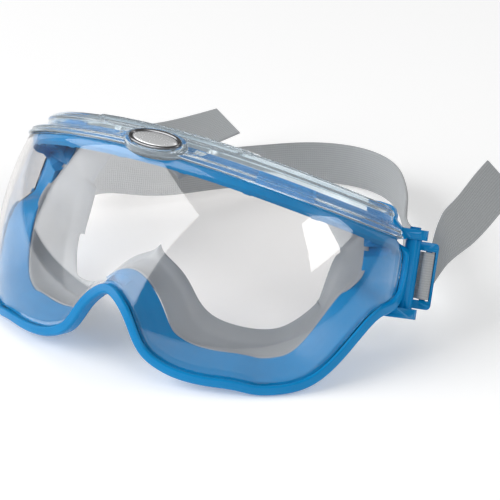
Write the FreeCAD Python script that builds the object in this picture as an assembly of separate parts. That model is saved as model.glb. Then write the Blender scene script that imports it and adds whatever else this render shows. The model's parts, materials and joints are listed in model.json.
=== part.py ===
import FreeCAD, Part
import os
from math import atan, cos, pi, radians, sin

V = FreeCAD.Vector
os.makedirs("parts", exist_ok=True)

# Safety goggles with a wraparound lens, a moulded frame, a soft face seal and an elastic strap.
# The goggles are drawn upright: +X to the right seen from the front, +Y towards the wearer, +Z up.
# At the end everything leans back, so that the frame's lower rim and the back of the strap
# rest on the table, and the table is z = 0.

# ---- driving dimensions, millimetres and degrees ----
HALF_ARC = 112.0          # half of the lens width, measured round its curve
FRONT_CURVE = 0.00714     # plan curvature at the middle of the lens, 1/mm
TEMPLE_CURVE = 0.03125    # curvature added by the end of the lens, 1/mm
CURVE_POWER = 2.68        # how late that curvature comes in
BOW_RADIUS = 108.0        # radius of the lens from top to bottom
LENS_THICK = 2.0
LENS_GAP = 0.2            # play between the lens and its groove
LOWER_EDGE = [(0, -19.5), (9, -24.9), (18, -36.5), (28, -40.7), (40, -41.4), (54, -39.8),
              (69, -38.1), (85, -28.9), (98.5, -4.8), (112, 3.2)]
UPPER_MIDDLE = 30.4       # height of the lens top edge at the middle
UPPER_DROP = 10.95        # how far it falls towards the temples
UPPER_LIFT = 4.45         # and how much of that comes back at the very end
LEAN = 25.0               # lean that brings the strap loop level
SETTLE = 7.6              # further lean that brings the back of the strap down to the table

TOP_SLOTS = [(-13.0, 13.0), (15.5, 40.0), (42.5, 67.0), (69.5, 94.0)]
TAB_AT = 66.0             # arc position of the lens tabs along the lower edge
TAB_WIDE = 6.0

BADGE_LONG = 22.4
BADGE_HIGH = 10.0
BADGE_TILT = 47.0         # tilt of the badge's face above the horizontal
BADGE_AT = (4.6, 34.9)    # y and z of the badge's centre

HINGE_AT = (82.36, 60.42)   # x and y of the right clip's hinge
CLIP_LOW = 1.2
CLIP_HIGH = 25.0
CLIP_TURN = 37.0          # direction of the clip from +X towards +Y
CLIP_TILT = 7.0           # how far the hinge's top leans towards the middle, in the clip's plane
CLIP_PLATE = 2.4
BARREL_R = 2.4
PIN_R = 1.1
PIN_PLAY = 0.05
LUG = 3.6                 # thickness of the two lugs that hold the clip
LUG_PLAY = 0.4
BARREL_PLAY = 0.5         # clearance of the groove in the frame round the clip's barrel
LUG_R = 3.4
LUG_REACH = 1.4
# Lug roots: below or above the clip, length, and turn further forward than the clip.
LUG_ROOTS = ((-1, 13.0, 30.0), (1, 11.0, 3.0))
WINDOW = (2.4, 8.3)       # strap window, measured from the hinge axis
WINDOW_Z = (4.3, 21.9)
BAR = (4.9, 7.1)
RIM_END = 9.2

STRAP_W = 16.8
STRAP_T = 0.9
STRAP_Z = 13.1            # height of the strap's middle line at the clips


def smooth(points, at):
    """Height of a smooth curve through the points, mirrored about zero."""
    at = abs(at)
    full = [(-points[1][0], points[1][1])] + points
    full.append((2 * points[-1][0] - points[-2][0], 2 * points[-1][1] - points[-2][1]))
    k = 1
    while k < len(full) - 3 and at > full[k + 1][0]:
        k += 1
    (s0, z0), (s1, z1), (s2, z2), (s3, z3) = full[k - 1:k + 3]
    step = s2 - s1
    m1 = (z2 - z0) / (s2 - s0) * step
    m2 = (z3 - z1) / (s3 - s1) * step
    u = (at - s1) / step
    return ((2 * u**3 - 3 * u**2 + 1) * z1 + (u**3 - 2 * u**2 + u) * m1
            + (3 * u**2 - 2 * u**3) * z2 + (u**3 - u**2) * m2)


def lower(s):
    return smooth(LOWER_EDGE, s)


def upper(s):
    u = min(abs(s) / HALF_ARC, 1.0)
    return UPPER_MIDDLE - UPPER_DROP * u**2 + UPPER_LIFT * u**4


def turn(s):
    """Direction of the lens in plan at arc length s, in radians."""
    rise = TEMPLE_CURVE * s**(CURVE_POWER + 1) / ((CURVE_POWER + 1) * HALF_ARC**CURVE_POWER)
    return FRONT_CURVE * s + rise


def plan(s):
    """Plan point and direction of the lens at signed arc length s."""
    side = -1.0 if s < 0 else 1.0
    steps = 60
    ds = abs(s) / steps
    x = y = 0.0
    for k in range(steps):
        angle = turn((k + 0.5) * ds)
        x += cos(angle) * ds
        y += sin(angle) * ds
    return side * x, y, side * turn(abs(s))


def place(s, z, out=0.0, along=0.0, up=0.0):
    """Point near the lens surface: out along its normal, along its curve and up it."""
    x, y, angle = plan(s)
    normal = V(sin(angle), -cos(angle), 0)
    tilt = atan(z / BOW_RADIUS)
    rise = V(0, 0, 1) * cos(tilt) - normal * sin(tilt)
    face = normal * cos(tilt) + V(0, 0, 1) * sin(tilt)
    base = V(x, y, z) - normal * (z**2 / (2 * BOW_RADIUS))
    return base + face * out + V(cos(angle), sin(angle), 0) * along + rise * up


def loft(loops, closed=False, straight=False):
    wires = [Part.makePolygon(loop + [loop[0]]) for loop in loops]
    shape = Part.makeLoft(wires, True, straight, closed)
    if shape.ShapeType != "Solid":
        shape = Part.makeSolid(shape)
    if shape.Volume < 0:
        shape.reverse()
    return shape


def spread(start, end, count):
    return [start + (end - start) * k / (count - 1) for k in range(count)]


def strip(section, start, end, count, height):
    """Solid that follows the lens from arc start to end, with (out, up) corners over height(s)."""
    return loft([[place(s, height(s), out, 0, up) for out, up in section]
                 for s in spread(start, end, count)])


def mirrored(shape):
    return shape.mirror(V(0, 0, 0), V(1, 0, 0))


# ---- lens ----
LENS_END = 111.0
CORNER_START = 102.0      # where the rounding of the lens corners begins
CORNER_FALL = 0.055


def lens_low(s):
    return lower(s) + LENS_GAP + CORNER_FALL / 2 * max(abs(s) - CORNER_START, 0.0)**2


def lens_high(s):
    return upper(s) - LENS_GAP - CORNER_FALL * max(abs(s) - CORNER_START, 0.0)**2


def lens():
    sections = []
    for s in spread(-LENS_END, LENS_END, 57):
        levels = spread(lens_low(s), lens_high(s), 7)
        front = [place(s, z) for z in levels]
        back = [place(s, z, -LENS_THICK) for z in reversed(levels)]
        sections.append(front + back)
    body = loft(sections)
    for side in (-1, 1):
        tab = [(-0.1, 0.6), (-0.1, -2.4), (-LENS_THICK + 0.1, -2.4), (-LENS_THICK + 0.1, 0.6)]
        ends = (side * (TAB_AT - TAB_WIDE / 2), side * (TAB_AT + TAB_WIDE / 2))
        body = body.fuse(strip(tab, ends[0], ends[1], 3, lambda s: lower(s) + LENS_GAP))
    return body


# ---- frame ----
# Corners of the frame's section as (out from the lens face, in from the lens edge):
# first along the lower rim and sides, then along the top, where it is a vented ledge.
RIM_SECTION = [(0.15, 0.8), (1.6, 0.8), (1.6, -2.2), (0.8, -2.9), (-3.2, -3.0), (-7.0, -0.9),
               (-14.0, 3.2), (-14.0, 5.8), (-10.5, 4.5), (-8.5, 3.7), (-6.2, 2.9), (-4.4, 2.2),
               (-2.3, 1.4), (-2.3, -0.1), (0.15, -0.1)]
TOP_SECTION = [(-2.9, -0.55), (-3.9, -0.9), (-5.2, -1.3), (-6.8, -1.8), (-8.6, -2.4),
               (-9.4, -6.2), (-16.5, -7.4), (-16.5, -5.6), (-11.2, -4.5), (-10.4, -0.8),
               (-4.4, 1.2), (-4.4, 4.4), (-2.4, 2.8), (-2.4, 0.1), (-2.6, -0.3)]
SLOT_SECTION = [(-3.6, 3.2), (-7.2, 4.4), (-7.2, -3.0), (-3.6, -4.0)]
# End wall behind each end of the hood, as (out, up) over the lens's top edge.
WALL_SECTION = [(0.2, 0.5), (0.2, 1.5), (-1.2, 4.9), (-3.5, 7.4), (-3.3, 9.0), (-4.1, 11.2),
                (-5.2, 12.2), (-9.5, 13.4), (-15.0, 14.2), (-15.0, -3.0), (-3.3, -3.0), (-3.3, 0.5)]
WALL = (107.8, 112.0)
SIDE_CORNERS = [(108.5, 1.6), (112.2, 6.5), (113.2, 13.0), (112.4, 19.5), (108.0, 23.6)]
LEDGE_START = 19.0        # height at which the rim section begins to turn into the ledge
LEDGE_BLEND = 5.0         # and over how much height it does so


def edge_line():
    """Closed outline of the lens edge, as arc position and height."""
    half = [(s, lower(s)) for s in spread(0.0, 102.0, 17)] + SIDE_CORNERS
    half += [(s, upper(s)) for s in (100.0, 85.0, 65.0, 45.0, 22.0, 0.0)]
    points = half + [(-s, z) for s, z in reversed(half[1:-1])]
    curve = Part.BSplineCurve()
    curve.interpolate(Points=[V(s, z, 0) for s, z in points], PeriodicFlag=True)
    return curve


def top_share(spot):
    """How far the frame's section has changed from rim (0) to top ledge (1)."""
    rise = min(max((spot.y - LEDGE_START) / LEDGE_BLEND, 0.0), 1.0)
    return rise * rise * (3 - 2 * rise)


def ring():
    curve = edge_line()
    loops = []
    for spot in curve.discretize(Number=121)[:-1]:
        heading = curve.tangent(curve.parameter(spot))[0]
        inward = V(-heading.y, heading.x, 0)
        share = top_share(spot)
        loop = []
        for (out0, in0), (out1, in1) in zip(RIM_SECTION, TOP_SECTION):
            out = out0 + (out1 - out0) * share
            step = in0 + (in1 - in0) * share
            loop.append(place(spot.x, spot.y, out, inward.x * step, inward.y * step))
        loops.append(loop)
    return loft(loops, True)


def lug(low, root_long, sweep):
    """One flat lug of the right-hand clip hinge, with its pin hole."""
    end = Part.makeCylinder(LUG_R, LUG, V(0, 0, low))
    arm = Part.makeBox(LUG_REACH, 2 * LUG_R, LUG, V(0, -LUG_R, low))
    tip = Part.makeCylinder(LUG_R, LUG, V(LUG_REACH, 0, low))
    root = Part.makeBox(root_long, 2 * LUG_R, LUG, V(-root_long, -LUG_R, low))
    root.rotate(V(0, 0, 0), V(0, 0, 1), sweep)
    shape = end.fuse([arm, tip, root]).removeSplitter()
    return to_hinge(shape.cut(Part.makeCylinder(PIN_R, LUG + 2, V(0, 0, low - 1))))


def frame():
    shape = ring()
    for end, root_long, sweep in LUG_ROOTS:
        low = CLIP_HIGH + LUG_PLAY if end > 0 else CLIP_LOW - LUG_PLAY - LUG
        right = lug(low, root_long, sweep)
        shape = shape.fuse([right, mirrored(right)])
    wall = strip(WALL_SECTION, WALL[0], WALL[1], 3, upper)
    shape = shape.fuse([wall, mirrored(wall)])
    cutters = []
    for start, end in TOP_SLOTS:
        slot = strip(SLOT_SECTION, start, end, 7, upper)
        cutters.append(slot)
        if start > 0:
            cutters.append(mirrored(slot))
    for side in (-1, 1):
        tab = [(0.1, 0.9), (0.1, -2.6), (-LENS_THICK - 0.1, -2.6), (-LENS_THICK - 0.1, 0.9)]
        ends = (side * (TAB_AT - TAB_WIDE / 2 - 0.3), side * (TAB_AT + TAB_WIDE / 2 + 0.3))
        cutters.append(strip(tab, ends[0], ends[1], 3, lambda s: lower(s) + LENS_GAP))
        vent = Part.makeCylinder(1.3, 14, V(side * 9.0, 6.0, -16.5), V(side * 0.3, 0.1, 1))
        cutters.append(vent)
    cutters.append(Part.makeBox(8.0, 4.4, 20, V(-4.0, 5.0, -24.0)))
    groove = to_hinge(Part.makeCylinder(BARREL_R + BARREL_PLAY, CLIP_HIGH - CLIP_LOW + 2 * LUG_PLAY,
                                        V(0, 0, CLIP_LOW - LUG_PLAY)))
    cutters += [groove, mirrored(groove)]
    for cutter in cutters:
        shape = shape.cut(cutter)
    return shape


# ---- brow hood ----
HOOD_END = 107.5
HOOD_SECTION = [(0.8, 0.05), (0.9, 0.9), (0.1, 1.4), (0.5, 2.5), (-0.4, 3.3), (-3.7, 5.8),
                (-3.9, 7.7), (-3.1, 8.5), (-3.9, 9.9), (-5.2, 11.3), (-9.5, 12.6), (-15.5, 14.0),
                (-15.5, 12.7), (-9.9, 11.3), (-6.3, 10.3), (-5.2, 8.7), (-5.1, 5.2), (-1.9, 2.5),
                (-1.5, 0.05)]


def oval(length, height, depth, lift):
    """Flat oval slab lying on the badge's tilted plane, lifted off it."""
    ellipse = Part.Ellipse(V(0, 0, lift), length / 2, height / 2)
    slab = Part.Face(Part.Wire(ellipse.toShape())).extrude(V(0, 0, depth))
    slab.rotate(V(0, 0, 0), V(1, 0, 0), 90 - BADGE_TILT)
    slab.translate(V(0, *BADGE_AT))
    return slab


def brow_hood():
    shape = strip(HOOD_SECTION, -HOOD_END, HOOD_END, 41, upper)
    shape = shape.fuse(oval(BADGE_LONG + 4.4, BADGE_HIGH + 3.0, 3.4, -4.0))
    return shape.cut(oval(BADGE_LONG + 0.4, BADGE_HIGH + 0.4, 3.0, -1.4))


# ---- badge ----
def badge_bezel():
    ring = oval(BADGE_LONG, BADGE_HIGH, 2.0, -1.4)
    return ring.cut(oval(BADGE_LONG - 2.8, BADGE_HIGH - 2.8, 2.0, -0.9))


def badge_plate():
    return oval(BADGE_LONG - 3.0, BADGE_HIGH - 3.0, 1.0, -0.9)


# ---- face seal ----
# Each pair joins a place on the frame's rear edge with a corner of the face opening.
LOWER_PAIRS = [(0, 0, -6.3), (6, 5.2, -8.3), (12, 11.2, -12.0), (17, 16.8, -17.4),
               (22, 21.0, -22.7), (29, 26.0, -25.8), (38, 32.5, -26.7), (50, 40.8, -25.9),
               (68, 49.6, -21.6), (86, 56.0, -11.9), (99, 58.8, -2.0)]
SIDE_PAIR = (10.5, 59.6, 9.5)
UPPER_PAIRS = [(106, 58.6, 20.5), (92, 54.0, 25.2), (70, 43.0, 27.6), (46, 29.0, 28.6),
               (22, 14.0, 28.9), (0, 0, 29.0)]
FACE_MIDDLE = 24.0        # y of the face opening at the middle
FACE_BEND = 250.0         # how slowly the face falls back to the sides
SEAL_WALL = 1.8
SEAL_FLAP = 5.5


def face_point(x, z):
    return V(x, FACE_MIDDLE + 2 * x**2 / FACE_BEND, z)


def seal_loop(front, rear):
    """Section of the seal: a wall from the frame to the face and a flap turned inwards."""
    inward = V(rear.x - front.x, 0, rear.z - front.z)
    inward.normalize()
    back = V(0, 1, 0)
    return [front, rear, rear + inward * SEAL_FLAP + back * 2.4,
            rear + inward * (SEAL_FLAP - 0.5) + back * 3.8, rear - inward * 0.9 + back * SEAL_WALL,
            front - inward * SEAL_WALL + back * 0.3]


def seal_fronts(side):
    """Front edge points, from the middle of the lower edge round one side to the top."""
    curve = edge_line()
    out, step = -14.05, 5.7
    fronts = []
    for s, x, z in LOWER_PAIRS:
        start = V(s, lower(s), 0)
        heading = curve.tangent(curve.parameter(start))[0]
        spot = place(start.x, start.y, out, -heading.y * step, heading.x * step)
        fronts.append((spot, face_point(x, z)))
    z0, x, z = SIDE_PAIR
    fronts.append((place(113.0, z0, out, -step, 0), face_point(x, z)))
    for s, x, z in UPPER_PAIRS:
        fronts.append((place(s, upper(s), -16.55, 0, 5.5), face_point(x, z)))
    if side > 0:
        return fronts
    flip = [(V(-a.x, a.y, a.z), V(-b.x, b.y, b.z)) for a, b in fronts[1:-1]]
    return flip[::-1]


def face_seal():
    pairs = seal_fronts(1) + seal_fronts(-1)
    return loft([seal_loop(front, rear) for front, rear in pairs], True)


# ---- strap clips and hinge pins ----
def to_hinge(shape):
    shape.rotate(V(0, 0, STRAP_Z), V(0, 1, 0), -CLIP_TILT)
    shape.rotate(V(0, 0, 0), V(0, 0, 1), CLIP_TURN)
    shape.translate(V(HINGE_AT[0], HINGE_AT[1], 0))
    return shape


def strap_clip():
    tall = CLIP_HIGH - CLIP_LOW
    half = CLIP_PLATE / 2
    body = Part.makeCylinder(BARREL_R, tall, V(0, 0, CLIP_LOW))
    body = body.fuse(Part.makeBox(RIM_END, CLIP_PLATE, tall, V(0, -half, CLIP_LOW)))
    opening = Part.makeBox(WINDOW[1] - WINDOW[0], 3 * CLIP_PLATE, WINDOW_Z[1] - WINDOW_Z[0],
                           V(WINDOW[0], -1.5 * CLIP_PLATE, WINDOW_Z[0]))
    bar = Part.makeBox(BAR[1] - BAR[0], 1.8, tall, V(BAR[0], -0.9, CLIP_LOW))
    bar = bar.makeFillet(0.7, [edge for edge in bar.Edges if edge.Length > tall - 0.1])
    corners = [edge for edge in body.Edges
               if abs(edge.BoundBox.XMin - RIM_END) < 0.01 and edge.BoundBox.ZLength < 0.01]
    body = body.makeFillet(1.6, corners)
    body = body.cut(opening).fuse(bar).removeSplitter()
    bore = Part.makeCylinder(PIN_R + PIN_PLAY, tall + 2, V(0, 0, CLIP_LOW - 1))
    return to_hinge(body.cut(bore))


def clip_pin():
    low = CLIP_LOW - LUG - LUG_PLAY
    tall = CLIP_HIGH - CLIP_LOW + 2 * (LUG + LUG_PLAY)
    pin = Part.makeCylinder(PIN_R, tall, V(0, 0, low))
    head = Part.makeCylinder(2.0, 0.8, V(0, 0, low + tall))
    return to_hinge(pin.fuse(head).removeSplitter())


# ---- strap ----
def lean(point):
    a = radians(LEAN)
    return V(point.x, point.y * cos(a) + point.z * sin(a), -point.y * sin(a) + point.z * cos(a))


def web_section(spot, heading, across, square=True):
    """Section of the webbing, square to its run unless it leaves a fold at an angle."""
    if square:
        across = across - heading * across.dot(heading)
    across.normalize()
    flat = heading.cross(across)
    flat.normalize()
    corners = ((-STRAP_W / 2, -STRAP_T / 2), (STRAP_W / 2, -STRAP_T / 2),
               (STRAP_W / 2, STRAP_T / 2), (-STRAP_W / 2, STRAP_T / 2))
    return [spot + across * w + flat * t for w, t in corners]


def ribbon(path, widths, count, square=True):
    """Sections of flat webbing along a smooth path, its width direction given at each point."""
    line = Part.BSplineCurve()
    line.interpolate(path)
    knots = [line.parameter(spot) for spot in path]
    sections = []
    for spot in line.discretize(Number=count):
        at = line.parameter(spot)
        k = max(i for i in range(len(knots) - 1) if knots[i] <= at + 1e-9 or i == 0)
        share = (at - knots[k]) / (knots[k + 1] - knots[k])
        across = widths[k] * (1 - share) + widths[k + 1] * share
        sections.append(web_section(spot, line.tangent(at)[0], across, square))
    return sections


def at_clip(a, b, side=1):
    """Point in the strap's middle line, a along the clip and b behind it, leaned back."""
    turned, tilted = radians(CLIP_TURN), radians(CLIP_TILT)
    flat = a * cos(tilted)
    x = HINGE_AT[0] + flat * cos(turned) - b * sin(turned)
    y = HINGE_AT[1] + flat * sin(turned) + b * cos(turned)
    return lean(V(side * x, y, STRAP_Z + a * sin(tilted)))


def clip_up(side):
    """Direction of the hinge axis and of the strap's width at the clip, leaned back."""
    turned, tilted = radians(CLIP_TURN), radians(CLIP_TILT)
    return lean(V(-side * sin(tilted) * cos(turned), -sin(tilted) * sin(turned), cos(tilted)))


WORLD_UP = V(0, 0, 1)
TABLE_LEVEL = -47.6       # height of the table below the goggles' own origin, once leaned
WRAP_IN = 4.35            # where the strap passes inside the bar
WRAP_OUT = 7.65           # and outside it
WRAP_FRONT = -0.3         # where the turn round the bar's front begins
STUB_END = (3.3, 5.6)     # end of the short length towards the loop
TAIL_START = (7.65, 2.2)
WRAP_STEPS = 8
# Tails: points and width directions once leaned, height above the table.
TAIL_RIGHT = [((86.2, 77.0, 42.2), (-0.35, 0.19, 0.92)), ((87.7, 85.3, 46.3), (-0.49, -0.12, 0.86)),
              ((89.2, 102.2, 54.5), (-0.61, -0.29, 0.73)), ((89.4, 110.6, 57.8), (-0.62, -0.31, 0.72))]
TAIL_LEFT = [((-90.2, 75.0, 31.0), (0.0, 0.3, 0.93)), ((-93.7, 90.0, 28.5), (-0.1, 0.1, 0.95)),
             ((-88.5, 111.0, 28.0), (-0.35, 0.1, 0.85)), ((-73.0, 130.0, 31.5), (-0.7, 0.2, 0.6)),
             ((-58.6, 147.5, 37.6), (-0.9, 0.26, 0.36))]
LOOP = [(74.0, 79.0, 30.5), (62.0, 93.0, 29.5), (47.0, 115.0, 29.0), (33.0, 135.0, 28.8),
        (18.0, 150.0, 28.6), (0.0, 156.0, 28.5), (-17.0, 150.0, 28.6), (-31.0, 134.0, 28.8),
        (-44.0, 114.0, 29.0), (-59.0, 92.0, 29.5), (-72.5, 78.0, 30.5)]


def on_table(spot):
    return V(spot[0], spot[1], spot[2] + TABLE_LEVEL)


def wrap_sections(side):
    """The strap's turn round the clip's bar, from the loop side to the tail side."""
    radius = (WRAP_OUT - WRAP_IN) / 2
    middle = (WRAP_IN + WRAP_OUT) / 2
    route = [STUB_END, (WRAP_IN - 0.3, 3.4), (WRAP_IN, 1.6)]
    for k in range(WRAP_STEPS + 1):
        angle = pi * k / WRAP_STEPS
        route.append((middle - radius * cos(angle), WRAP_FRONT - radius * sin(angle)))
    route.append((WRAP_OUT, 1.0))
    path = [at_clip(a, b, side) for a, b in route]
    sections = []
    for k, spot in enumerate(path):
        heading = path[min(k + 1, len(path) - 1)] - path[max(k - 1, 0)]
        heading.normalize()
        sections.append(web_section(spot, heading, clip_up(side)))
    return sections


def strap_end(side, tail):
    a, b = TAIL_START
    path = [at_clip(a, b, side)]
    widths = [clip_up(side)]
    for spot, across in tail:
        path.append(on_table(spot))
        widths.append(V(*across))
    return loft(wrap_sections(side) + ribbon(path, widths, 28, False), straight=True)


def strap_loop():
    start = [at_clip(2.1, 8.0), at_clip(1.1, 11.0)]
    end = [at_clip(1.1, 11.0, -1), at_clip(2.1, 8.0, -1)]
    path = start + [on_table(spot) for spot in LOOP] + end
    widths = [clip_up(1), clip_up(1) * 0.85 + WORLD_UP * 0.15] + [WORLD_UP] * len(LOOP)
    widths += [clip_up(-1) * 0.85 + WORLD_UP * 0.15, clip_up(-1)]
    return loft(ribbon(path, widths, 61))


# ---- assembly ----
clip = strap_clip()
pin = clip_pin()
leaning = {
    "lens": lens(), "frame": frame(), "brow_hood": brow_hood(), "badge_bezel": badge_bezel(),
    "badge_plate": badge_plate(), "face_seal": face_seal(), "strap_clip_right": clip,
    "strap_clip_left": mirrored(clip), "clip_pin_right": pin, "clip_pin_left": mirrored(pin)}
nodes = {}
for name, shape in leaning.items():
    shape.rotate(V(0, 0, 0), V(1, 0, 0), -LEAN)
    nodes[name] = shape
nodes["strap_end_right"] = strap_end(1, TAIL_RIGHT)
nodes["strap_end_left"] = strap_end(-1, TAIL_LEFT)
nodes["strap_loop"] = strap_loop()

settle = FreeCAD.Rotation(V(1, 0, 0), -SETTLE)
box = FreeCAD.BoundBox()
for shape in nodes.values():
    shape.rotate(V(0, 0, 0), V(1, 0, 0), -SETTLE)
    box.add(shape.optimalBoundingBox(False))
middle = V(-(box.XMin + box.XMax) / 2, -(box.YMin + box.YMax) / 2, -box.ZMin)
for name, shape in nodes.items():
    shape.translate(middle)
    shape.exportStep("parts/" + name + ".step")
    print(name, shape.ShapeType, shape.isValid(), len(shape.Solids), round(shape.Volume, 1))
hinge = settle.multVec(lean(V(HINGE_AT[0], HINGE_AT[1], STRAP_Z))) + middle
print("size", box.XLength, box.YLength, box.ZLength, "moved", middle)
print("right hinge at", hinge, "along", settle.multVec(clip_up(1)))
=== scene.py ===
import json
from math import cos, pi, radians, sin

import bmesh
import bpy
import numpy as np
from mathutils import Matrix, Vector

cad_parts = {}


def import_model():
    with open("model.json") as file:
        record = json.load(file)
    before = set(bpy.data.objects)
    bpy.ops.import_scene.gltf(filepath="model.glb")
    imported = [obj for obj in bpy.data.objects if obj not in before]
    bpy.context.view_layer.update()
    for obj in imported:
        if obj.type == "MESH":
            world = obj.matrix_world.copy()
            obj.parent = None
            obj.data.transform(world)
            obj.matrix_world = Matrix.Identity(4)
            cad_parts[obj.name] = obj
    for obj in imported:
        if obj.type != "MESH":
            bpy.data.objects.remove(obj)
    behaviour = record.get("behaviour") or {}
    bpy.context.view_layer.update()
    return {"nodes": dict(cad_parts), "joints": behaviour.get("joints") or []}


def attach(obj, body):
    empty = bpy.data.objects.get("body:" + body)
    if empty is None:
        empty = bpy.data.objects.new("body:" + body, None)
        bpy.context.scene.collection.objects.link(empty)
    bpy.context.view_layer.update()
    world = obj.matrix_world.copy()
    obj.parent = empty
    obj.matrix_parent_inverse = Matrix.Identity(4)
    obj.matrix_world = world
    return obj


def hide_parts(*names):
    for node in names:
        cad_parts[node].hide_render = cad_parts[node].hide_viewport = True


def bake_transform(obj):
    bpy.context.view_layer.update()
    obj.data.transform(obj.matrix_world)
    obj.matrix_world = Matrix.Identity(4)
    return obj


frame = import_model()

# Safety goggles. Every shape is worked out upright, in millimetres: +X to the right seen from the
# front, +Y towards the wearer, +Z up. world() leans it back on to the table.

# ---- the goggles' own sizes, millimetres, as in the CAD model ----
HALF_ARC = 112.0          # half of the lens width, measured round its curve
FRONT_CURVE = 0.00714     # plan curvature at the middle of the lens, 1/mm
TEMPLE_CURVE = 0.03125    # curvature added by the end of the lens, 1/mm
CURVE_POWER = 2.68
BOW_RADIUS = 108.0        # radius of the lens from top to bottom
LENS_THICK = 2.0
LENS_GAP = 0.2
LENS_END = 111.0
LENS_ROUND = 0.9          # height of the lens's rounded edge
CORNER_START = 102.0      # the lens's corners are cut away from here
CORNER_FALL = 0.055
LOWER_EDGE = [(0, -19.5), (9, -24.9), (18, -36.5), (28, -40.7), (40, -41.4), (54, -39.8),
              (69, -38.1), (85, -28.9), (98.5, -4.8), (112, 3.2)]
UPPER_MIDDLE = 30.4
UPPER_DROP = 10.95
UPPER_LIFT = 4.45
TAB_AT = 66.0
TAB_WIDE = 6.0
TAB_DEEP = 2.4
TAB_SLOPE = 0.1           # half of the width of a tab's sloped sides
HINGE = (82.36, 60.42, 13.1)
CLIP_TURN = radians(37.0)
CLIP_TILT = radians(7.0)  # how far the hinge's top leans towards the middle
CLIP_LOW = 1.2
CLIP_HIGH = 25.0
LUG = 3.6
LUG_PLAY = 0.4
LUG_R = 3.4
LUG_REACH = 1.4
PIN_R = 1.1
BARREL_R = 2.4
BADGE_LONG = 22.4
BADGE_HIGH = 10.0
BADGE_TILT = radians(47.0)
BADGE_AT = (0.0, 4.6, 34.9)
STRAP_W = 16.8
STRAP_T = 0.9

STRAP_LEAN = radians(25.0)    # lean that brings the strap loop level
SETTLE = radians(7.6)         # further lean that brings it down to the table
TILT = STRAP_LEAN + SETTLE
LEAN = np.array(((1, 0, 0), (0, cos(TILT), sin(TILT)), (0, -sin(TILT), cos(TILT))))
hinge = next(joint for joint in frame["joints"] if joint["name"] == "clip_right_hinge")
ORIGIN = 1000 * np.array(hinge["pos_m"]) - LEAN @ np.array(HINGE)


def world(points):
    """Upright millimetres to metres in the shared frame."""
    return (np.asarray(points, float) @ LEAN.T + ORIGIN) / 1000


def ease(x):
    x = np.clip(x, 0.0, 1.0)
    return x * x * (3 - 2 * x)


# ---- curves ----
def spline(points, count, closed=False):
    """Evenly spaced points on the smooth curve through points of any dimension."""
    p = np.array(points, float)
    if closed:
        p = np.vstack((p, p[:1]))
    last = len(p) - 1
    h = np.linalg.norm(np.diff(p, axis=0), axis=1)
    slope = np.diff(p, axis=0) / h[:, None]
    size = last if closed else last + 1
    a = np.zeros((size, size))
    rhs = np.zeros((size, p.shape[1]))
    for i in range(size):
        if not closed and i in (0, last):
            a[i, i] = 1.0
            continue
        before = (i - 1) % last
        after = (i + 1) % size if closed else i + 1
        a[i, before if closed else i - 1] += h[before]
        a[i, i] += 2 * (h[before] + h[i])
        a[i, after] += h[i]
        rhs[i] = 6 * (slope[i] - slope[before])
    bend = np.linalg.solve(a, rhs)
    if closed:
        bend = np.vstack((bend, bend[:1]))
    fine = []
    for i in range(last):
        u = np.linspace(0, h[i], 60, endpoint=False)[:, None]
        v = h[i] - u
        fine.append((bend[i] * v**3 + bend[i + 1] * u**3) / (6 * h[i])
                    + (p[i] / h[i] - bend[i] * h[i] / 6) * v
                    + (p[i + 1] / h[i] - bend[i + 1] * h[i] / 6) * u)
    fine = np.vstack(fine + [p[-1:]])
    run = np.concatenate(([0], np.cumsum(np.linalg.norm(np.diff(fine, axis=0), axis=1))))
    at = np.linspace(0, run[-1], count, endpoint=not closed)
    return np.column_stack([np.interp(at, run, fine[:, k]) for k in range(p.shape[1])])


def fillet(corners, radius, steps=4):
    """Rounds every corner of closed polygons, given as (..., corner, 2)."""
    c = np.asarray(corners, float)
    to_last = np.roll(c, 1, -2) - c
    to_next = np.roll(c, -1, -2) - c
    run_last = np.linalg.norm(to_last, axis=-1, keepdims=True)
    run_next = np.linalg.norm(to_next, axis=-1, keepdims=True)
    to_last = to_last / run_last
    to_next = to_next / run_next
    half = np.arccos(np.clip((to_last * to_next).sum(-1, keepdims=True), -1, 1)) / 2
    cut = np.minimum(radius / np.tan(np.clip(half, 0.05, pi / 2 - 0.01)),
                     0.45 * np.minimum(run_last, run_next))
    start = c + to_last * cut
    end = c + to_next * cut
    t = np.linspace(0, 1, steps + 1)[:, None]
    arcs = ((1 - t)**2 * start[..., None, :] + 2 * t * (1 - t) * c[..., None, :]
            + t**2 * end[..., None, :])
    return arcs.reshape(c.shape[:-2] + (-1, 2))


# ---- the lens surface, which everything on the goggles follows ----
def lower(s):
    """Height of the lens's lower edge, a smooth curve mirrored about the middle."""
    at = np.abs(np.asarray(s, float))
    knots = np.array([(-LOWER_EDGE[1][0], LOWER_EDGE[1][1])] + LOWER_EDGE
                     + [(2 * LOWER_EDGE[-1][0] - LOWER_EDGE[-2][0],
                         2 * LOWER_EDGE[-1][1] - LOWER_EDGE[-2][1])])
    k = np.clip(np.searchsorted(knots[:, 0], at) - 1, 1, len(knots) - 3)
    s0, s1, s2, s3 = (knots[k + i, 0] for i in (-1, 0, 1, 2))
    z0, z1, z2, z3 = (knots[k + i, 1] for i in (-1, 0, 1, 2))
    m1 = (z2 - z0) / (s2 - s0) * (s2 - s1)
    m2 = (z3 - z1) / (s3 - s1) * (s2 - s1)
    u = (at - s1) / (s2 - s1)
    return ((2 * u**3 - 3 * u**2 + 1) * z1 + (u**3 - 2 * u**2 + u) * m1
            + (3 * u**2 - 2 * u**3) * z2 + (u**3 - u**2) * m2)


def upper(s):
    u = np.minimum(np.abs(s) / HALF_ARC, 1.0)
    return UPPER_MIDDLE - UPPER_DROP * u**2 + UPPER_LIFT * u**4


def turn(s):
    rise = TEMPLE_CURVE * s**(CURVE_POWER + 1) / ((CURVE_POWER + 1) * HALF_ARC**CURVE_POWER)
    return FRONT_CURVE * s + rise


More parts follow.
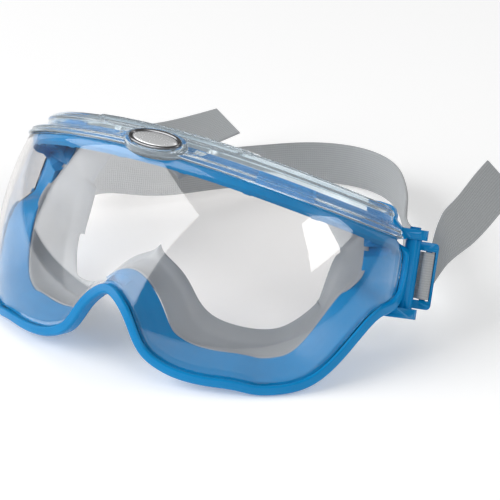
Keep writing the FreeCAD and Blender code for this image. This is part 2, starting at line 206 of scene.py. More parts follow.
PLAN_STEP = 0.1
plan_arc = np.arange(0, HALF_ARC + 10, PLAN_STEP)
plan_x = np.concatenate(([0], np.cumsum(np.cos(turn(plan_arc[:-1] + PLAN_STEP / 2)) * PLAN_STEP)))
plan_y = np.concatenate(([0], np.cumsum(np.sin(turn(plan_arc[:-1] + PLAN_STEP / 2)) * PLAN_STEP)))


def place(s, z, out=0.0, along=0.0, up=0.0):
    """Points near the lens surface: out along its normal, along its curve and up it."""
    s, z, out, along, up = np.broadcast_arrays(s, z, out, along, up)
    side = np.where(s < 0, -1.0, 1.0)
    x = side * np.interp(np.abs(s), plan_arc, plan_x)
    y = np.interp(np.abs(s), plan_arc, plan_y)
    angle = side * turn(np.abs(s))
    tilt = np.arctan(z / BOW_RADIUS)
    flat = np.zeros_like(x)
    normal = np.stack((np.sin(angle), -np.cos(angle), flat), -1)
    upright = np.stack((flat, flat, flat + 1), -1)
    tangent = np.stack((np.cos(angle), np.sin(angle), flat), -1)
    cos_t, sin_t = np.cos(tilt)[..., None], np.sin(tilt)[..., None]
    rise = upright * cos_t - normal * sin_t
    face = normal * cos_t + upright * sin_t
    base = np.stack((x, y, z), -1) - normal * (z**2 / (2 * BOW_RADIUS))[..., None]
    return base + face * out[..., None] + tangent * along[..., None] + rise * up[..., None]


# ---- meshes ----
def grid(rows, closed=False):
    """Vertices and faces of a tube of equal loops, shut in a ring or capped at its ends."""
    rows = np.asarray(rows, float)
    count, around = rows.shape[:2]
    faces = []
    for i in range(count if closed else count - 1):
        a, b = i * around, (i + 1) % count * around
        faces += [(a + k, a + (k + 1) % around, b + (k + 1) % around, b + k)
                  for k in range(around)]
    if not closed:
        faces.append(tuple(reversed(range(around))))
        faces.append(tuple(range((count - 1) * around, count * around)))
    return rows.reshape(-1, 3), faces


def joined(*parts):
    """One mesh of several that don't touch."""
    points, faces = [], []
    for verts, part in parts:
        start = sum(len(p) for p in points)
        points.append(verts)
        faces += [tuple(start + k for k in face) for face in part]
    return np.vstack(points), faces


def piece(name, mesh_data, finish=None):
    """New object from upright millimetres, smooth and with its faces outwards."""
    verts, faces = mesh_data
    mesh = bpy.data.meshes.new(name)
    mesh.from_pydata(world(verts).tolist(), [], faces)
    bm = bmesh.new()
    bm.from_mesh(mesh)
    bmesh.ops.recalc_face_normals(bm, faces=bm.faces)
    bm.to_mesh(mesh)
    bm.free()
    mesh.shade_smooth()
    obj = bpy.data.objects.new(name, mesh)
    bpy.context.scene.collection.objects.link(obj)
    if finish:
        mesh.materials.append(finish)
    return obj


def settle(obj, sharp=50.0):
    """Puts the modifiers' result into the mesh."""
    graph = bpy.context.evaluated_depsgraph_get()
    mesh = bpy.data.meshes.new_from_object(obj.evaluated_get(graph))
    obj.modifiers.clear()
    obj.data = mesh
    mesh.shade_smooth()
    mesh.set_sharp_from_angle(angle=radians(sharp))


def combine(obj, tool, how):
    """Joins a tool shape to the object or cuts it away, then deletes the tool."""
    change = obj.modifiers.new("combine", "BOOLEAN")
    change.operation = how
    change.solver = "EXACT"
    change.object = tool
    settle(obj)
    bpy.data.objects.remove(tool)


def soften(obj, width, segments=3, angle=38.0):
    """Rounds the sharp edges, in millimetres."""
    bevel = obj.modifiers.new("round", "BEVEL")
    bevel.width = width / 1000
    bevel.segments = segments
    bevel.limit_method = "ANGLE"
    bevel.angle_limit = radians(angle)
    bevel.use_clamp_overlap = True
    even = obj.modifiers.new("even", "WEIGHTED_NORMAL")
    even.keep_sharp = True
    settle(obj)


def own(obj, body, slot, *nodes):
    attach(obj, body)
    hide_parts(*nodes)


# ---- materials ----
class Finish:
    """A material with one Principled shader and short helpers for its nodes."""

    def __init__(self, name):
        self.material = bpy.data.materials.new(name)
        self.material.use_nodes = True
        self.nodes = self.material.node_tree.nodes
        self.shader = self.nodes["Principled BSDF"]
        self.output = self.nodes["Material Output"]

    def link(self, source, target):
        self.material.node_tree.links.new(source, target)

    def set(self, **values):
        for name, value in values.items():
            self.shader.inputs[name.replace("_", " ")].default_value = value
        return self

    def noise(self, scale, detail=2.0, vector=None):
        node = self.nodes.new("ShaderNodeTexNoise")
        node.inputs["Scale"].default_value = scale
        node.inputs["Detail"].default_value = detail
        if vector is None:
            vector = self.nodes.new("ShaderNodeTexCoord").outputs["Object"]
        self.link(vector, node.inputs["Vector"])
        return node.outputs["Fac"]

    def ramp(self, source, *stops):
        node = self.nodes.new("ShaderNodeValToRGB")
        ramp = node.color_ramp
        while len(ramp.elements) < len(stops):
            ramp.elements.new(0.5)
        for element, (at, colour) in zip(ramp.elements, stops):
            element.position = at
            element.color = (*colour, 1) if hasattr(colour, "__len__") else (colour,) * 3 + (1,)
        self.link(source, node.inputs["Fac"])
        return node.outputs["Color"]

    def scale(self, source, low, high):
        node = self.nodes.new("ShaderNodeMapRange")
        node.inputs["To Min"].default_value = low
        node.inputs["To Max"].default_value = high
        self.link(source, node.inputs["Value"])
        return node.outputs["Result"]

    def bump(self, height, distance, strength=1.0):
        node = self.nodes.new("ShaderNodeBump")
        node.inputs["Distance"].default_value = distance
        node.inputs["Strength"].default_value = strength
        self.link(height, node.inputs["Height"])
        self.link(node.outputs["Normal"], self.shader.inputs["Normal"])

    def lets_light_through(self, colour):
        """Lamps reach what is behind the clear plastic."""
        path = self.nodes.new("ShaderNodeLightPath")
        clear = self.nodes.new("ShaderNodeBsdfTransparent")
        clear.inputs["Color"].default_value = (*colour, 1)
        mix = self.nodes.new("ShaderNodeMixShader")
        self.link(path.outputs["Is Shadow Ray"], mix.inputs[0])
        self.link(self.shader.outputs[0], mix.inputs[1])
        self.link(clear.outputs[0], mix.inputs[2])
        self.link(mix.outputs[0], self.output.inputs["Surface"])


def blue_plastic():
    """Soft moulded frame plastic: satin, with a fine grain."""
    f = Finish("frame_plastic")
    f.set(IOR=1.45, Specular_IOR_Level=0.3, Subsurface_Weight=0.04,
          Subsurface_Radius=(0.2, 0.6, 1.0), Subsurface_Scale=0.001)
    f.link(f.ramp(f.noise(60, 3), (0.3, (0.0, 0.205, 0.49)), (0.7, (0.0, 0.23, 0.54))),
           f.shader.inputs["Base Color"])
    f.link(f.scale(f.noise(900, 3), 0.17, 0.27), f.shader.inputs["Roughness"])
    f.bump(f.noise(2500, 2), 0.00001)
    return f.material


def clear_lens():
    f = Finish("clear_lens")
    f.set(Base_Color=(0.85, 0.835, 0.825, 1), IOR=1.5, Transmission_Weight=1.0)
    f.link(f.scale(f.noise(700, 3), 0.0, 0.02), f.shader.inputs["Roughness"])
    f.lets_light_through((0.9, 0.9, 0.9))
    return f.material


def clear_hood():
    """Clear moulded plastic, slightly frosted."""
    f = Finish("clear_hood")
    f.set(Base_Color=(0.8, 0.89, 0.94, 1), IOR=1.46, Transmission_Weight=0.93)
    f.link(f.scale(f.noise(400, 4), 0.03, 0.12), f.shader.inputs["Roughness"])
    f.bump(f.noise(900, 2), 0.000004)
    f.lets_light_through((0.8, 0.83, 0.86))
    return f.material


def seal_rubber():
    f = Finish("seal_rubber")
    f.set(IOR=1.42, Subsurface_Weight=0.3, Subsurface_Radius=(1.0, 1.05, 1.1),
          Subsurface_Scale=0.002)
    f.link(f.ramp(f.noise(45, 3), (0.3, (0.3, 0.325, 0.35)), (0.7, (0.36, 0.385, 0.41))),
           f.shader.inputs["Base Color"])
    f.link(f.scale(f.noise(600, 3), 0.3, 0.45), f.shader.inputs["Roughness"])
    f.bump(f.noise(1800, 2), 0.00003)
    return f.material


def webbing():
    """Knitted elastic: ribs across, fine wales along, and specks of lint."""
    f = Finish("strap_webbing")
    uv = f.nodes.new("ShaderNodeUVMap")
    uv.uv_map = "webbing"
    wales = f.nodes.new("ShaderNodeTexWave")
    wales.bands_direction = "X"
    wales.inputs["Scale"].default_value = 0.35
    wales.inputs["Distortion"].default_value = 0.6
    f.link(uv.outputs[0], wales.inputs["Vector"])
    yarn = f.ramp(wales.outputs["Fac"], (0.0, (0.33, 0.345, 0.355)), (1.0, (0.385, 0.4, 0.41)))
    lint = f.ramp(f.noise(1.1, 1, uv.outputs[0]), (0.74, 0.0), (0.8, 1.0))
    mix = f.nodes.new("ShaderNodeMix")
    mix.data_type = "RGBA"
    f.link(lint, mix.inputs["Factor"])
    f.link(yarn, mix.inputs["A"])
    mix.inputs["B"].default_value = (0.5, 0.51, 0.52, 1)
    f.link(mix.outputs["Result"], f.shader.inputs["Base Color"])
    f.link(f.scale(wales.outputs["Fac"], 0.9, 0.7), f.shader.inputs["Roughness"])
    f.set(Sheen_Weight=0.25, Sheen_Roughness=0.5)
    f.bump(wales.outputs["Fac"], 0.00005)
    return f.material


def dark_chrome():
    f = Finish("badge_chrome")
    f.set(Base_Color=(0.2, 0.2, 0.205, 1), Metallic=1.0)
    f.link(f.scale(f.noise(800, 3), 0.12, 0.22), f.shader.inputs["Roughness"])
    return f.material


def silver():
    f = Finish("badge_metal")
    f.set(Base_Color=(0.85, 0.86, 0.87, 1), Metallic=0.6)
    f.link(f.scale(f.noise(1200, 3), 0.2, 0.32), f.shader.inputs["Roughness"])
    f.bump(f.noise(3000, 2), 0.00001)
    return f.material


BLUE = blue_plastic()


# ---- lens ----
def lens_low(s):
    tab = ease((TAB_WIDE / 2 + TAB_SLOPE - np.abs(np.abs(s) - TAB_AT)) / (2 * TAB_SLOPE))
    return (lower(s) + LENS_GAP + CORNER_FALL / 2 * np.maximum(np.abs(s) - CORNER_START, 0)**2
            - TAB_DEEP * tab)


def lens_high(s):
    return upper(s) - LENS_GAP - CORNER_FALL * np.maximum(np.abs(s) - CORNER_START, 0)**2


LENS_LEVELS = 26          # points up each face of the lens


def build_lens():
    tab_edges = [side * (TAB_AT + end * TAB_WIDE / 2 + k) for side in (-1, 1) for end in (-1, 1)
                 for k in (-TAB_SLOPE, -TAB_SLOPE / 2, 0.0, TAB_SLOPE / 2, TAB_SLOPE)]
    arc = np.sort(np.concatenate((np.linspace(-LENS_END, LENS_END, 261), tab_edges)))
    edge = 0.5 * LENS_THICK * np.sin(np.pi * np.linspace(0, 1, 7))[1:-1]
    rows = []
    for s in arc:
        low, high = lens_low(s), lens_high(s)
        level = np.linspace(low + LENS_ROUND, high - LENS_ROUND, LENS_LEVELS)
        depth = -LENS_THICK / 2 * (1 - np.cos(np.pi * np.linspace(0, 1, 7)[1:-1]))
        z = np.concatenate((level, high - LENS_ROUND + LENS_ROUND * edge,
                            level[::-1], low + LENS_ROUND - LENS_ROUND * edge))
        out = np.concatenate((np.zeros(LENS_LEVELS), depth,
                              np.full(LENS_LEVELS, -LENS_THICK), depth[::-1]))
        rows.append(place(s, z, out))
    obj = piece("lens_shield", grid(rows), clear_lens())
    own(obj, "root", "clear_lens", "lens")


# ---- frame ----
RIM_SECTION = [(0.15, 0.8), (1.6, 0.8), (1.6, -2.2), (0.8, -2.9), (-3.2, -3.0), (-7.0, -0.9),
               (-14.0, 3.2), (-14.0, 5.8), (-10.5, 4.5), (-8.5, 3.7), (-6.2, 2.9), (-4.4, 2.2),
               (-2.3, 1.4), (-2.3, -0.1), (0.15, -0.1)]
TOP_SECTION = [(-2.9, -0.55), (-3.9, -0.9), (-5.2, -1.3), (-6.8, -1.8), (-8.6, -2.4),
               (-9.4, -6.2), (-16.5, -7.4), (-16.5, -5.6), (-11.2, -4.5), (-10.4, -0.8),
               (-4.4, 1.2), (-4.4, 4.4), (-2.4, 2.8), (-2.4, 0.1), (-2.6, -0.3)]
SIDE_CORNERS = [(108.5, 1.6), (112.2, 6.5), (113.2, 13.0), (112.4, 19.5), (108.0, 23.6)]
UPPER_SPOTS = (100.0, 85.0, 65.0, 45.0, 22.0, 0.0)
LEDGE_START = 19.0        # height at which the rim's section starts to become the brow ledge's
LEDGE_BLEND = 5.0
TOP_SLOTS = [(-13.0, 13.0), (15.5, 40.0), (42.5, 67.0), (69.5, 94.0)]
SLOT_DEPTH = (-3.7, -7.2)
SLOT_HIGH = (-5.0, 6.0)   # the cutters' lower and upper ends
VENT_AT = (9.0, 6.0, -16.5)
VENT_R = 1.3              # round vents beside the nose
NOSE_SLOT = ((-4.0, 5.0, -24.0), (4.0, 9.4, -4.0))    # slot through the nose bridge
# Lug roots: below or above the clip, length, and turn further forward than the clip.
LUG_ROOTS = ((-1, 13.0, 30.0), (1, 11.0, 3.0))
BARREL_PLAY = 0.5         # clearance of the groove in the frame round the clip's barrel
# End wall behind each end of the hood, as (out, up) over the lens's top edge.
WALL_SECTION = [(0.2, 0.5), (0.2, 1.5), (-1.2, 4.9), (-3.5, 7.4), (-3.3, 9.0), (-4.1, 11.2),
                (-5.2, 12.2), (-9.5, 13.4), (-15.0, 14.2), (-15.0, -3.0), (-3.3, -3.0),
                (-3.3, 0.5)]
WALL = (107.8, 112.0)     # where the walls start and end along the lens


def edge_points():
    """Points of the closed outline of the lens edge, as arc position and height."""
    half = [(s, float(lower(s))) for s in np.linspace(0.0, 102.0, 17)] + SIDE_CORNERS
    half += [(s, float(upper(s))) for s in UPPER_SPOTS]
    return half + [(-s, z) for s, z in reversed(half[1:-1])]


EDGE = spline(edge_points(), 560, closed=True)


def inward_at(points):
    """Directions into the lens at the outline points nearest to the given ones."""
    heading = np.roll(EDGE, -1, 0) - np.roll(EDGE, 1, 0)
    heading /= np.linalg.norm(heading, axis=1)[:, None]
    nearest = [np.argmin(np.linalg.norm(EDGE - p, axis=1)) for p in np.atleast_2d(points)]
    return np.column_stack((-heading[nearest, 1], heading[nearest, 0]))


def ring():
    inward = inward_at(EDGE)
    share = ease((EDGE[:, 1] - LEDGE_START) / LEDGE_BLEND)[:, None, None]
    section = np.array(RIM_SECTION) * (1 - share) + np.array(TOP_SECTION) * share
    section = fillet(section, 0.9)
    out, step = section[..., 0], section[..., 1]
    return grid(place(EDGE[:, :1], EDGE[:, 1:], out, inward[:, :1] * step, inward[:, 1:] * step),
                closed=True)


def at_hinge(a, b, z):
    """Points a along the right-hand clip, b behind it and z up its hinge axis."""
    a, b, z = np.broadcast_arrays(np.asarray(a, float), b, z)
    flat = a * cos(CLIP_TILT) - (z - HINGE[2]) * sin(CLIP_TILT)
    return np.stack((HINGE[0] + flat * cos(CLIP_TURN) - b * sin(CLIP_TURN),
                     HINGE[1] + flat * sin(CLIP_TURN) + b * cos(CLIP_TURN),
                     HINGE[2] + (z - HINGE[2]) * cos(CLIP_TILT) + a * sin(CLIP_TILT)), -1)


def prism(outline, low, high):
    """Straight prism over an outline in the clip's own plane, set on the right-hand hinge."""
    a, b = np.asarray(outline, float).T
    return grid([at_hinge(a, b, z) for z in (low, high)])


def flipped(mesh_data):
    verts, faces = mesh_data
    return verts * (-1, 1, 1), faces


def arc(centre, radius, start, end, count):
    angles = np.radians(np.linspace(start, end, count))
    return [(centre[0] + radius * cos(a), centre[1] + radius * sin(a)) for a in angles]


def lug_outline(root_long, sweep):
    """Outline of a lug: its root turns forward by sweep degrees, its tip is round."""
    t = radians(sweep)
    back = [(-root_long * cos(t) - k * LUG_R * sin(t), -root_long * sin(t) + k * LUG_R * cos(t))
            for k in (1, -1)]
    return np.vstack((back, arc((LUG_REACH, 0), LUG_R, sweep - 90, 90, 15)))


def slot_shape(start, end):
    """Cutter for one vent slot of the top ledge, with round corners."""
    plan = fillet([(start, SLOT_DEPTH[0]), (end, SLOT_DEPTH[0]), (end, SLOT_DEPTH[1]),
                   (start, SLOT_DEPTH[1])], 0.9, 5)
    dense = []
    for a, b in zip(plan, np.roll(plan, -1, 0)):
        count = max(int(np.linalg.norm(b - a) / 1.2), 1)
        dense += [a + (b - a) * k / count for k in range(count)]
    s, out = np.array(dense).T
    return grid([place(s, upper(s), out, 0, up) for up in SLOT_HIGH])


def block(low, high):
    (x0, y0, z0), (x1, y1, z1) = low, high
    return grid([[(x0, y0, z), (x1, y0, z), (x1, y1, z), (x0, y1, z)] for z in (z0, z1)])


def rod(foot, axis, radius, length, count=24):
    axis = Vector(axis).normalized()
    side = axis.orthogonal()
    other = axis.cross(side)
    angles = np.linspace(0, 2 * pi, count, endpoint=False)[:, None]
    round_axis = np.cos(angles) * np.array(side) + np.sin(angles) * np.array(other)
    loop = np.array(foot) + radius * round_axis
    return grid([loop, loop + length * np.array(axis)])


def build_frame():
    obj = piece("frame_rim", ring(), BLUE)
    lugs = []
    for end, root_long, sweep in LUG_ROOTS:
        low = CLIP_HIGH + LUG_PLAY if end > 0 else CLIP_LOW - LUG_PLAY - LUG
        lug = prism(lug_outline(root_long, sweep), low, low + LUG)
        lugs += [lug, flipped(lug)]
    combine(obj, piece("lugs", joined(*lugs)), "UNION")
    section = fillet(WALL_SECTION, 0.8, 4)
    wall = grid([place(s, upper(s), section[:, 0], 0, section[:, 1])
                 for s in np.linspace(*WALL, 5)])
    combine(obj, piece("walls", joined(wall, flipped(wall))), "UNION")
    groove = prism(arc((0, 0), BARREL_R + BARREL_PLAY, 0, 352, 45), CLIP_LOW - LUG_PLAY,
                   CLIP_HIGH + LUG_PLAY)
    bore = prism(arc((0, 0), PIN_R, 0, 345, 24), CLIP_LOW - LUG - 3, CLIP_HIGH + LUG + 3)
    combine(obj, piece("grooves", joined(groove, flipped(groove))), "DIFFERENCE")
    cutters = [bore, flipped(bore)]
    for start, end in TOP_SLOTS:
        cutters.append(slot_shape(start, end))
        if start > 0:
            cutters.append(flipped(slot_shape(start, end)))
    for side in (-1, 1):
        cutters.append(rod((side * VENT_AT[0], *VENT_AT[1:]), (side * 0.3, 0.1, 1), VENT_R, 14))
        spots = np.array([TAB_AT - TAB_WIDE / 2 - 0.3, TAB_AT + TAB_WIDE / 2 + 0.3]) * side
        low = lower(spots) + LENS_GAP
        cutters.append(grid([place(s, z, (0.1, 0.1, -LENS_THICK - 0.1, -LENS_THICK - 0.1), 0,
                                   (0.9, -2.6, -2.6, 0.9)) for s, z in zip(spots, low)]))
    cutters.append(block(*NOSE_SLOT))
    combine(obj, piece("cutters", joined(*cutters)), "DIFFERENCE")
    soften(obj, 0.35)
    own(obj, "root", "frame_plastic", "frame")


# ---- brow hood ----
HOOD_SECTION = [(0.8, 0.05), (0.9, 0.9), (0.1, 1.4), (0.5, 2.5), (-0.4, 3.3), (-3.7, 5.8),
                (-3.9, 7.7), (-3.1, 8.5), (-3.9, 9.9), (-5.2, 11.3), (-9.5, 12.6), (-15.5, 14.0),
                (-15.5, 12.7), (-9.9, 11.3), (-6.3, 10.3), (-5.2, 8.7), (-5.1, 5.2), (-1.9, 2.5),
                (-1.5, 0.05)]
HOOD_END = 107.5
BOSS = [(2.7, 17.0), (5.8, 21.0), (7.7, 26.0), (8.6, 32.0), (10.6, 37.0), (13.0, 40.0)]
BOSS_RISE = 0.4
BOSS_CORNERS = (4, 11)    # the corners of the hood's section that the boss lifts
BOSS_EDGE = 1.1           # width of the slope at the boss's edge
SEAT_LONG = 4.4           # how much longer and higher the badge's seat is than the badge
SEAT_HIGH = 3.0
POCKET_PLAY = 0.4
PLATE_INSET = 3.0         # how much smaller the plate is than the bezel


def on_badge(x, across, lift):
    """Point on the badge's tilted plane."""
    turned = pi / 2 - BADGE_TILT
    return np.stack((BADGE_AT[0] + x, BADGE_AT[1] + across * cos(turned) - lift * sin(turned),
                     BADGE_AT[2] + across * sin(turned) + lift * cos(turned)), -1)


def oval_rows(profile, long, high, count=96):
    """Loops round an oval, for (inset, lift) pairs of a profile."""
    angles = np.linspace(0, 2 * pi, count, endpoint=False)
    return [on_badge((long / 2 - inset) * np.cos(angles), (high / 2 - inset) * np.sin(angles),
                     np.full(count, lift)) for inset, lift in profile]


def build_hood():
    rows = []
    section = fillet(HOOD_SECTION, 0.7, 4)
    edge = np.roll(section, -1, 0) - np.roll(section, 1, 0)
    normal = np.column_stack((edge[:, 1], -edge[:, 0])) / np.linalg.norm(edge, axis=1)[:, None]
    if (normal[0] * (1, -1)).sum() < 0:
        normal = -normal
    reach = np.interp(section[:, 1], *zip(*BOSS))
    fringe = np.zeros(len(section))
    fringe[BOSS_CORNERS[0] * 5:BOSS_CORNERS[1] * 5] = 1.0
    for s in np.linspace(-HOOD_END, HOOD_END, 381):
        rise = BOSS_RISE * fringe * ease((reach - abs(s)) / BOSS_EDGE)
        shape = section + normal * rise[:, None]
        rows.append(place(s, upper(s), shape[:, 0], 0, shape[:, 1]))
    obj = piece("brow_cover", grid(rows), clear_hood())
    seat = [(0.0, -4.0), (0.0, -1.3), (0.12, -0.8), (0.45, -0.45), (0.9, -0.35)]
    seat_rows = oval_rows(seat, BADGE_LONG + SEAT_LONG, BADGE_HIGH + SEAT_HIGH)
    combine(obj, piece("seat", grid(seat_rows)), "UNION")
    pocket = [(0.0, -1.45), (0.0, 1.6)]
    pocket_rows = oval_rows(pocket, BADGE_LONG + POCKET_PLAY, BADGE_HIGH + POCKET_PLAY)
    combine(obj, piece("pocket", grid(pocket_rows)), "DIFFERENCE")
    soften(obj, 0.25)
    own(obj, "root", "clear_hood", "brow_hood")


# ---- badge ----
def build_badge():
    bezel = [(0.0, -1.35), (0.0, -0.1), (0.15, 0.22), (0.45, 0.4), (0.85, 0.42), (1.15, 0.25),
             (1.35, -0.05), (1.45, -0.5), (1.45, -1.35)]
    obj = piece("badge_ring", grid(oval_rows(bezel, BADGE_LONG, BADGE_HIGH), closed=True),
                dark_chrome())
    own(obj, "root", "badge_chrome", "badge_bezel")
    long, high = BADGE_LONG - PLATE_INSET, BADGE_HIGH - PLATE_INSET
    dome = [(0.0, -0.9), (0.0, -0.3)]
    dome += [(high / 2 * (1 - cos(t)), -0.3 + 0.75 * sin(t)) for t in np.linspace(0.12, 1.45, 14)]
    obj = piece("badge_face", grid(oval_rows(dome, long, high)), silver())
    own(obj, "root", "badge_metal", "badge_plate")


# ---- face seal ----
LOWER_PAIRS = [(0, 0, -6.3), (6, 5.2, -8.3), (12, 11.2, -12.0), (17, 16.8, -17.4),
               (22, 21.0, -22.7), (29, 26.0, -25.8), (38, 32.5, -26.7), (50, 40.8, -25.9),
               (68, 49.6, -21.6), (86, 56.0, -11.9), (99, 58.8, -2.0)]
SIDE_PAIR = (10.5, 59.6, 9.5)
UPPER_PAIRS = [(106, 58.6, 20.5), (92, 54.0, 25.2), (70, 43.0, 27.6), (46, 29.0, 28.6),
               (22, 14.0, 28.9), (0, 0, 29.0)]
FACE_MIDDLE = 24.0
FACE_BEND = 250.0
SEAL_FLAP = 5.5
SEAL_STEP = 5.7           # from the lens outline inwards to the seal's front edge
SEAL_LOWER_OUT = -14.05   # the seal's front edge behind the lens, below and at the sides
SEAL_UPPER_OUT = -16.55   # the same along the brow
SEAL_UPPER_RISE = 5.5     # and its height over the lens's top edge
SIDE_AT = 113.0
SEAL_PINCH = 1.2          # how far the skirt's sides are drawn in halfway


def face_point(x, z):
    return np.array((x, FACE_MIDDLE + 2 * x**2 / FACE_BEND, z))


def seal_pairs():
    """Front and rear edge points of the seal, all the way round."""
    pairs = []
    for s, x, z in LOWER_PAIRS:
        start = np.array((s, float(lower(s))))
        step = inward_at(start)[0] * SEAL_STEP
        pairs.append((place(*start, SEAL_LOWER_OUT, *step), face_point(x, z)))
    z0, x, z = SIDE_PAIR
    pairs.append((place(SIDE_AT, z0, SEAL_LOWER_OUT, -SEAL_STEP, 0.0), face_point(x, z)))
    for s, x, z in UPPER_PAIRS:
        pairs.append((place(s, upper(s), SEAL_UPPER_OUT, 0.0, SEAL_UPPER_RISE), face_point(x, z)))
    return pairs + [(a * (-1, 1, 1), b * (-1, 1, 1)) for a, b in reversed(pairs[1:-1])]


def build_seal():
    loops = spline([np.concatenate(pair) for pair in seal_pairs()], 420, closed=True)
    front, rear = loops[:, :3], loops[:, 3:]
    inward = (rear - front) * (1, 0, 1)
    inward /= np.linalg.norm(inward, axis=1)[:, None]
    run = rear - front
    length = np.linalg.norm(run, axis=1)[:, None]
    run = run / length
    back = np.array((0.0, 1.0, 0.0))
    pinch = inward * -SEAL_PINCH - back * 0.2
    inner = [front + run * length * k + pinch * sin(pi * k) for k in np.linspace(0, 1, 9)]
    flap = [rear + inward * SEAL_FLAP * k + back * 2.4 * k**1.6 for k in (0.3, 0.65, 1.0)]
    tip = [rear + inward * (SEAL_FLAP + 0.35) + back * 3.1,
           rear + inward * (SEAL_FLAP - 0.1) + back * 3.55]
    outer_flap = [rear + inward * (SEAL_FLAP * k - 0.6) + back * (2.4 * k**1.6 + 1.2)
                  for k in (0.7, 0.35, 0.05)]
    outer = [front + run * length * k + pinch * sin(pi * k)
             - inward * (1.8 - 0.6 * k) + back * (0.3 + 0.9 * k) for k in np.linspace(0.97, 0, 9)]
    rows = np.stack(inner + flap + tip + outer_flap + outer, 1)
    obj = piece("face_skirt", grid(rows, closed=True), seal_rubber())
    smooth = obj.modifiers.new("round", "SUBSURF")
    smooth.levels = smooth.render_levels = 1
    settle(obj, 80)
    own(obj, "root", "seal_rubber", "face_seal")


# ---- strap clips ----
WINDOW = (2.4, 8.3)       # along the clip, from the hinge
WINDOW_Z = (4.3, 21.9)
WINDOW_CUT = 4            # half depth of the shape that cuts the window
BAR = (4.9, 7.1)          # along the clip; the webbing turns round it
BAR_HALF = 0.9
BAR_ROUND = 0.7
BAR_SUNK = 1              # how far the bar's ends lie inside the clip's rim
RIM_END = 9.2
CLIP_HALF = 1.2           # half of the plate's thickness
CORNER = 1.6
PIN_PLAY = 0.05
BORE_PAST = 2             # how far the shape that cuts the bore passes the clip's ends


def across_clip(span, half):
    """Rectangle along the clip from span's start to its end, half to each side of its plane."""
    return [(span[0], -half), (span[1], -half), (span[1], half), (span[0], half)]


def build_clip(side, name):
    face = np.vstack(([(0, CLIP_LOW)],
                      arc((RIM_END - CORNER, CLIP_LOW + CORNER), CORNER, -90, 0, 7),
                      arc((RIM_END - CORNER, CLIP_HIGH - CORNER), CORNER, 0, 90, 7),
                      [(0, CLIP_HIGH)]))
    tools = {"plate": grid([at_hinge(face[:, 0], b, face[:, 1]) for b in (-CLIP_HALF, CLIP_HALF)]),
             "window": prism(across_clip(WINDOW, WINDOW_CUT), *WINDOW_Z),
             "bar": prism(fillet(across_clip(BAR, BAR_HALF), BAR_ROUND),
                          CLIP_LOW + BAR_SUNK, CLIP_HIGH - BAR_SUNK),
             "bore": prism(arc((0, 0), PIN_R + PIN_PLAY, 0, 352, 40),
                           CLIP_LOW - BORE_PAST, CLIP_HIGH + BORE_PAST)}
    turned = (lambda m: m) if side > 0 else flipped
    barrel = prism(arc((0, 0), BARREL_R, 0, 352, 45), CLIP_LOW, CLIP_HIGH)
    obj = piece("clip_body_" + name, turned(barrel), BLUE)
    for tool, how in (("plate", "UNION"), ("window", "DIFFERENCE"), ("bar", "UNION"),
                      ("bore", "DIFFERENCE")):
        combine(obj, piece(tool, turned(tools[tool])), how)
    soften(obj, 0.45)
    own(obj, "clip_" + name, "frame_plastic", "strap_clip_" + name)


# ---- strap ----
TABLE_LEVEL = -47.6
WRAP_IN = 4.35
WRAP_OUT = 7.65
WRAP_FRONT = -0.3
STUB_END = (3.3, 5.6)
TAIL_START = (7.65, 2.2)
WRAP_STEPS = 14
RIB_PITCH = 0.8
RIB_RISE = 0.05
ROWS_PER_RIB = 5
FLAT_POINTS = 21          # points across each face of the webbing
FOLD_ROWS = 12            # rows over which the sections turn square behind the clip
# Tails and loop: points and width directions once leaned, height above the table.
TAIL_RIGHT = [((86.2, 77.0, 42.2), (-0.35, 0.19, 0.92)),
              ((87.7, 85.3, 46.3), (-0.49, -0.12, 0.86)),
              ((89.2, 102.2, 54.5), (-0.61, -0.29, 0.73)),
              ((89.4, 110.6, 57.8), (-0.62, -0.31, 0.72))]
TAIL_LEFT = [((-90.2, 75.0, 31.0), (0.0, 0.3, 0.93)), ((-93.7, 90.0, 28.5), (-0.1, 0.1, 0.95)),
             ((-88.5, 111.0, 28.0), (-0.35, 0.1, 0.85)), ((-73.0, 130.0, 31.5), (-0.7, 0.2, 0.6)),
             ((-58.6, 147.5, 37.6), (-0.9, 0.26, 0.36))]
LOOP = [(74.0, 79.0, 30.5), (62.0, 93.0, 29.5), (47.0, 115.0, 29.0), (33.0, 135.0, 28.8),
        (18.0, 150.0, 28.6), (0.0, 156.0, 28.5), (-17.0, 150.0, 28.6), (-31.0, 134.0, 28.8),
        (-44.0, 114.0, 29.0), (-59.0, 92.0, 29.5), (-72.5, 78.0, 30.5)]
LOOP_FROM = 0.02          # metres: the loop's middle lies further back than this
SPLIT_ALONG = 2.6         # where the webbing passes from the clip to the loop,
SPLIT_BEHIND = 7.0        # along the clip and behind it


def from_leaned(point):
    x, y, z = point
    return np.array((x, y * cos(STRAP_LEAN) - z * sin(STRAP_LEAN),
                     y * sin(STRAP_LEAN) + z * cos(STRAP_LEAN)))


def on_table(point):
    return from_leaned((point[0], point[1], point[2] + TABLE_LEVEL))


def at_clip(a, b, side):
    """Point in the strap's middle line, a along the clip and b behind it."""
    return at_hinge(a, b, HINGE[2]) * (side, 1, 1)


def strap_side(side, tail):
    """Points and width directions from a tail's end round the clip's bar to the loop."""
    clip_up = (at_hinge(0, 0, HINGE[2] + 1) - at_hinge(0, 0, HINGE[2])) * (side, 1, 1)
    radius = (WRAP_OUT - WRAP_IN) / 2
    middle = (WRAP_IN + WRAP_OUT) / 2
    route = [(on_table(spot), from_leaned(across)) for spot, across in reversed(tail)]
    turns = [TAIL_START, (WRAP_OUT, 1.0)]
    turns += [(middle + radius * cos(a), WRAP_FRONT - radius * sin(a))
              for a in np.linspace(0, pi, WRAP_STEPS + 1)]
    turns += [(WRAP_IN, 1.6), (WRAP_IN - 0.3, 3.4), STUB_END, (2.1, 8.0), (1.1, 11.0)]
    return route + [(at_clip(a, b, side), clip_up) for a, b in turns]


